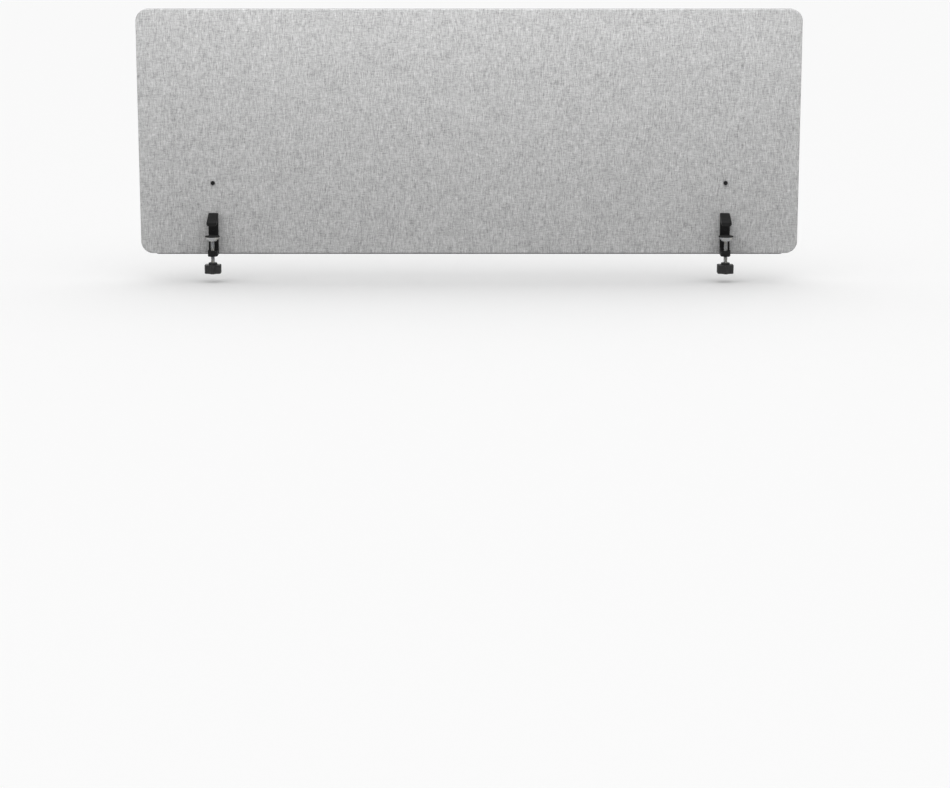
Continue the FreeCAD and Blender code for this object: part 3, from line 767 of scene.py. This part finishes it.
# ---- materials -----------------------------------------------------------------------------------
def woven_cloth():
    """Light grey melange plain weave: slubby warp and weft yarns, each its own tone along its length."""
    s = Shader("melange_cloth")
    yarn_pitch, lane_spacing, crimp = 1.2, 7.317, 0.8
    millimetres = s.scaled(s.attribute("cloth"), (1000.0, 1000.0, 1000.0))
    u, v, seed = s.split(millimetres)
    wander = s.spread(s.noise(millimetres, scale=0.06, detail=1.0), -0.5, 0.5)
    u, v = s.math("ADD", u, wander), s.math("ADD", v, wander)
    warp_place, weft_place = s.math("DIVIDE", u, yarn_pitch), s.math("DIVIDE", v, yarn_pitch)
    warp_index, weft_index = s.math("FLOOR", warp_place), s.math("FLOOR", weft_place)

    def yarn_tone(index, along, length, number):
        lane = s.math("MULTIPLY", index, lane_spacing)
        return s.noise(s.vector(lane, s.math("DIVIDE", along, length), s.math("ADD", seed, number)),
                       detail=3.0, roughness=0.65)

    def arch(place):
        return s.math("SINE", s.math("MULTIPLY", s.math("FRACT", place), math.pi))

    # each yarn is round across its lane and rises and dips along it, over one crossing, under the next
    warp_arch, weft_arch = arch(warp_place), arch(weft_place)
    parity = s.math("ABSOLUTE", s.math("MODULO", s.math("ADD", warp_index, weft_index), 2.0))
    rise = s.math("MULTIPLY", s.math("SUBTRACT", parity, 0.5), crimp)
    fibres = s.noise(s.scaled(millimetres, (5.0, 5.0, 1.0)), detail=3.0, roughness=0.7)
    warp_height = s.math("ADD", warp_arch, s.math("MULTIPLY", rise, weft_arch))
    weft_height = s.math("SUBTRACT", weft_arch, s.math("MULTIPLY", rise, warp_arch))
    hairy_edge = s.spread(fibres, -0.16, 0.16)
    warp_over = s.math("GREATER_THAN", s.math("ADD", warp_height, hairy_edge), weft_height)
    height = s.math("MAXIMUM", warp_height, weft_height)

    # tones: each yarn's own, its hairs, thick places that run over a few yarns, and painted shade in the
    # gaps between the yarns
    warp_tone = s.spread(yarn_tone(warp_index, v, 18.0, 3.1), -0.34, 0.34)
    weft_tone = s.spread(yarn_tone(weft_index, u, 12.0, 8.7), -0.23, 0.23)
    warp_hair = s.spread(s.noise(s.scaled(millimetres, (7.0, 1.6, 1.0)), detail=2.0), -0.07, 0.07)
    weft_hair = s.spread(s.noise(s.scaled(millimetres, (1.6, 7.0, 1.0)), detail=2.0), -0.07, 0.07)
    tone = s.mix(warp_over, s.math("ADD", weft_tone, weft_hair), s.math("ADD", warp_tone, warp_hair))
    slub = s.noise(s.vector(s.math("DIVIDE", u, 1.9), s.math("DIVIDE", v, 15.0), seed), detail=2.0)
    cross_slub = s.noise(s.vector(s.math("DIVIDE", u, 11.0), s.math("DIVIDE", v, 1.9), seed), detail=2.0)
    mottle = s.noise(millimetres, scale=0.03, detail=3.0)
    # painted shade: the cloth's colour darkens where the yarns dip, standing in for the shade in the gaps
    # of the weave
    between = s.math("MULTIPLY", s.math("SUBTRACT", 1.0, height), -0.22)
    for part in (s.spread(slub, -0.08, 0.08), s.spread(cross_slub, -0.05, 0.05),
                 s.spread(mottle, -0.02, 0.02), between, 0.5):
        tone = s.math("ADD", tone, part)
    colour = s.ramp(tone, (0.0, 0.11), (0.25, 0.245), (0.5, 0.415), (0.75, 0.58), (1.0, 0.74))
    s.bump(s.math("ADD", height, s.math("MULTIPLY", fibres, 0.5)), 0.22 * MM, 0.8)
    return s.finish(Base_Color=colour, Roughness=s.spread(fibres, 0.82, 0.95), Sheen_Weight=0.18,
                    Sheen_Roughness=0.45, Specular_IOR_Level=0.25)


def stitch_thread():
    """Twisted grey sewing thread."""
    s = Shader("stitch_thread")
    fibres = s.noise(s.place(), scale=3000.0, detail=2.0)
    s.bump(fibres, 0.05 * MM, 0.6)
    return s.finish(Base_Color=s.ramp(fibres, (0.3, 0.34), (0.7, 0.48)), Roughness=0.8,
                    Sheen_Weight=0.15)


def padding_felt():
    """Off-white needled felt, clumpy and hairy."""
    s = Shader("padding_felt")
    fibres = s.noise(s.place(), scale=900.0, detail=4.0, roughness=0.7)
    clumps = s.noise(s.place(), scale=60.0, detail=3.0)
    colour = s.mix(s.spread(clumps, 0.0, 1.0), (0.80, 0.79, 0.74), (0.88, 0.87, 0.83))
    s.bump(fibres, 0.3 * MM, 0.8)
    return s.finish(Base_Color=colour, Roughness=0.95, Sheen_Weight=0.2)


def fibre_board():
    """Brown fibreboard, with fibres and slightly darker patches."""
    s = Shader("fibre_board")
    fibres = s.noise(s.scaled(s.place(), (1.0, 3.0, 1.6)), scale=700.0, detail=4.0, roughness=0.65)
    patches = s.noise(s.place(), scale=12.0, detail=3.0)
    tone = s.math("ADD", s.math("MULTIPLY", fibres, 0.6), s.math("MULTIPLY", patches, 0.4))
    colour = s.ramp(tone, (0.3, (0.30, 0.19, 0.10)), (0.5, (0.47, 0.33, 0.19)), (0.7, (0.60, 0.45, 0.28)))
    s.bump(fibres, 0.08 * MM, 0.5)
    return s.finish(Base_Color=colour, Roughness=0.8)


def powder_coat(name, tone):
    """Black powder coat: fine orange peel, uneven gloss from handling and thinner, brighter edges."""
    s = Shader(name)
    peel = s.noise(s.place(), scale=1500.0, detail=2.0)
    grain = s.cells(s.place(), 2600.0)
    handling = s.noise(s.place(), scale=70.0, detail=4.0, roughness=0.65)
    worn = s.math("MULTIPLY", s.edge_wear(0.7 * MM, 6.0), s.spread(handling, 0.0, 0.6))
    colour = s.mix(worn, (tone, tone, tone * 1.04), (tone * 3.2, tone * 3.2, tone * 3.3))
    s.bump(s.math("ADD", peel, s.math("MULTIPLY", grain, 0.5)), 0.06 * MM, 0.55)
    return s.finish(Base_Color=colour, Roughness=s.spread(handling, 0.5, 0.64), Specular_IOR_Level=0.2)


def zinc_plate():
    """Bright zinc plating with faint turning marks and passivation tints."""
    s = Shader("zinc_plate")
    tint = s.noise(s.place(), scale=120.0, detail=3.0)
    marks = s.noise(s.scaled(s.place(), (30.0, 30.0, 4000.0)), detail=2.0)
    colour = s.ramp(tint, (0.3, (0.36, 0.37, 0.40)), (0.55, (0.45, 0.45, 0.44)), (0.75, (0.50, 0.48, 0.42)))
    s.bump(marks, 0.01 * MM, 0.4)
    return s.finish(Base_Color=colour, Metallic=1.0, Roughness=s.spread(marks, 0.26, 0.42))


def black_oxide():
    """Blackened steel of the bolts and washers, cloudy and a little shiny."""
    s = Shader("black_oxide")
    cloud = s.noise(s.place(), scale=260.0, detail=3.0)
    fine = s.noise(s.place(), scale=2400.0, detail=2.0)
    colour = s.ramp(cloud, (0.3, (0.006, 0.006, 0.007)), (0.7, (0.014, 0.0135, 0.0135)))
    s.bump(fine, 0.02 * MM, 0.4)
    return s.finish(Base_Color=colour, Metallic=0.2, Roughness=s.spread(cloud, 0.36, 0.52),
                    Specular_IOR_Level=0.3)


def spring_steel():
    """Dark tempered steel of the retaining rings."""
    s = Shader("spring_steel")
    cloud = s.noise(s.place(), scale=400.0, detail=3.0)
    colour = s.ramp(cloud, (0.3, 0.08), (0.7, 0.16))
    return s.finish(Base_Color=colour, Metallic=0.9, Roughness=s.spread(cloud, 0.35, 0.5))


def black_rubber():
    """Matt black rubber with a faint bloom."""
    s = Shader("black_rubber")
    fine = s.noise(s.place(), scale=1800.0, detail=3.0)
    bloom = s.noise(s.place(), scale=90.0, detail=4.0)
    colour = s.ramp(bloom, (0.3, 0.010), (0.8, 0.022))
    s.bump(fine, 0.05 * MM, 0.5)
    return s.finish(Base_Color=colour, Roughness=s.spread(bloom, 0.72, 0.9), Specular_IOR_Level=0.3)


def moulded_plastic(name, tone, roughness, streak=(1.0, 1.0, 1.0)):
    """Moulded or extruded black plastic with a fine spark texture, rubbed smoother in places."""
    s = Shader(name)
    spark = s.noise(s.scaled(s.place(), streak), scale=2200.0, detail=3.0, roughness=0.6)
    rubbed = s.noise(s.place(), scale=55.0, detail=3.0)
    colour = s.ramp(rubbed, (0.3, (tone * 0.85, tone * 0.85, tone * 0.87)), (0.7, (tone * 1.25,) * 3))
    s.bump(spark, 0.04 * MM, 0.5)
    return s.finish(Base_Color=colour, Roughness=s.spread(rubbed, roughness - 0.08, roughness + 0.08),
                    Specular_IOR_Level=0.45)


# ---- pieces --------------------------------------------------------------------------------------
def paint(obj, material):
    """Give every slot of an object this material."""
    if not obj.material_slots:
        obj.data.materials.append(material)
    for material_slot in obj.material_slots:
        material_slot.link = "OBJECT"
        material_slot.material = material


def add_piece(piece, body, slot, material, *nodes):
    """Let a piece ride on a body, with a material, in the place of any CAD nodes named; the slot argument
    is not used.
    """
    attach(piece, body)
    if nodes:
        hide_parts(*nodes)
    paint(piece, material)


woven = woven_cloth()
felt = padding_felt()
zinc = zinc_plate()
rubber = black_rubber()
add_piece(cover("front_cover_cloth", -1), "panel", "cover_cloth", woven, "front_cover")
add_piece(cover("rear_cover_cloth", 1), "panel", "cover_cloth", woven, "rear_cover")
add_piece(padding("front_padding", "front_foam"), "panel", "foam", felt, "front_foam")
add_piece(padding("rear_padding", "rear_foam"), "panel", "foam", felt, "rear_foam")
add_piece(seam_stitches("seam_stitches"), "panel", "cover_cloth", stitch_thread())
for side_name in SIDES:
    add_piece(threaded_screw(f"{side_name}_threaded_screw", side_name), f"{side_name}_screw",
              "zinc_steel", zinc, f"{side_name}_clamp_screw")
    add_piece(ribbed_jaw_pad(f"{side_name}_ribbed_jaw_pad", side_name), "panel",
              "pad_rubber", rubber, f"{side_name}_jaw_pad")
    add_piece(ribbed_foot_pad(f"{side_name}_ribbed_foot_pad", side_name), f"{side_name}_foot",
              "pad_rubber", rubber, f"{side_name}_foot_pad")

# ---- finishes of the CAD nodes that stay ---------------------------------------------------------
oxide = black_oxide()
node_finishes = {
    "core_board": fibre_board(),
    "bottom_strip": moulded_plastic("strip_plastic", 0.018, 0.5, (0.02, 1.0, 1.0)),
    "upper_bolts": oxide,
    "lower_bolts": oxide,
    "lower_washers": oxide,
    "upper_sleeves": zinc,
    "lower_sleeves": zinc,
}
clamp_finishes = {
    "clamp_body": powder_coat("clamp_powder_coat", 0.006),
    "backing_bar": powder_coat("bar_powder_coat", 0.007),
    "pressure_foot": zinc,
    "foot_clip": spring_steel(),
    "knob": moulded_plastic("knob_plastic", 0.010, 0.5),
    "knob_cap": moulded_plastic("cap_plastic", 0.014, 0.42),
}
for side_name in SIDES:
    for node_name, finish in clamp_finishes.items():
        node_finishes[f"{side_name}_{node_name}"] = finish
for node_name, finish in node_finishes.items():
    paint(frame["nodes"][node_name], finish)


# ---- studio --------------------------------------------------------------------------------------
def lowest_travel():
    """How far below rest the lowest moving part can go."""
    return min(joint["range_m"][0] for joint in frame["joints"] if joint["type"] == "slide")


def studio_floor():
    """Pale seamless floor just below the lowest point that any part reaches."""
    level = cad_bounds[0].z + lowest_travel() - 1 * MM
    half = 30.0
    corners = [(-half, -half, level), (half, -half, level), (half, half, level), (-half, half, level)]
    floor = new_object("studio_floor", corners, [(0, 1, 2, 3)], smooth=False)
    paint(floor, Shader("studio_floor").finish(Base_Color=(0.95, 0.95, 0.95), Roughness=0.9))
    return floor


def softbox(name, place, target, size, power, unlit):
    """Soft rectangular light that leaves the floor to the even light of the surroundings."""
    light = bpy.data.lights.new(name, "AREA")
    light.shape = "RECTANGLE"
    light.size, light.size_y = size
    light.energy = power
    lamp = bpy.data.objects.new(name, light)
    lamp.location = place
    lamp.rotation_euler = (Vector(target) - Vector(place)).to_track_quat("-Z", "Y").to_euler()
    bpy.context.scene.collection.objects.link(lamp)
    receivers = bpy.data.collections.new(f"{name}_receivers")
    receivers.objects.link(unlit)
    receivers.collection_objects[0].light_linking.link_state = "EXCLUDE"
    lamp.light_linking.receiver_collection = receivers


def studio_world(horizon, zenith, seen):
    """One pale tone to the camera, the floor's own; as a light, brightest overhead."""
    world = bpy.data.worlds.new("studio")
    bpy.context.scene.world = world
    world.use_nodes = True
    nodes, links = world.node_tree.nodes, world.node_tree.links
    background = nodes["Background"]
    direction = nodes.new("ShaderNodeTexCoord")
    split = nodes.new("ShaderNodeSeparateXYZ")
    lift = nodes.new("ShaderNodeMapRange")
    lift.inputs["To Min"].default_value = horizon
    lift.inputs["To Max"].default_value = zenith
    path = nodes.new("ShaderNodeLightPath")
    level = nodes.new("ShaderNodeMix")
    level.inputs["B"].default_value = seen
    links.new(direction.outputs["Generated"], split.inputs[0])
    links.new(split.outputs["Z"], lift.inputs["Value"])
    links.new(lift.outputs[0], level.inputs["A"])
    links.new(path.outputs["Is Camera Ray"], level.inputs["Factor"])
    links.new(level.outputs[0], background.inputs["Strength"])
    background.inputs["Color"].default_value = (1, 1, 1, 1)


def studio_camera():
    """Eye level of someone standing in front of the desk, looking slightly down."""
    pad_low, pad_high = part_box("left_jaw_pad")
    desk_edge, desk_level = pad_high.y + 3 * MM, pad_low.z
    eye_aside, eye_distance, eye_height = 0.012, 5.189, 0.723
    data = bpy.data.cameras.new("camera")
    data.sensor_width = 36.0
    data.lens = 96.6
    camera = bpy.data.objects.new("camera", data)
    camera.location = (eye_aside, desk_edge - eye_distance, desk_level + eye_height)
    camera.rotation_euler = (math.radians(90 - 11.75), 0, 0)
    bpy.context.scene.collection.objects.link(camera)
    bpy.context.scene.camera = camera


ground = studio_floor()
studio_world(horizon=0.15, zenith=1.45, seen=0.955)
softbox("key", place=(0, -0.62, 1.1), target=(0, 0, 1.0), size=(2.6, 0.3), power=18, unlit=ground)
softbox("back", place=(0.3, 1.6, 0.6), target=(0, 0, 0.45), size=(2.6, 0.5), power=21, unlit=ground)
studio_camera()
bpy.context.scene.view_settings.view_transform = "Standard"
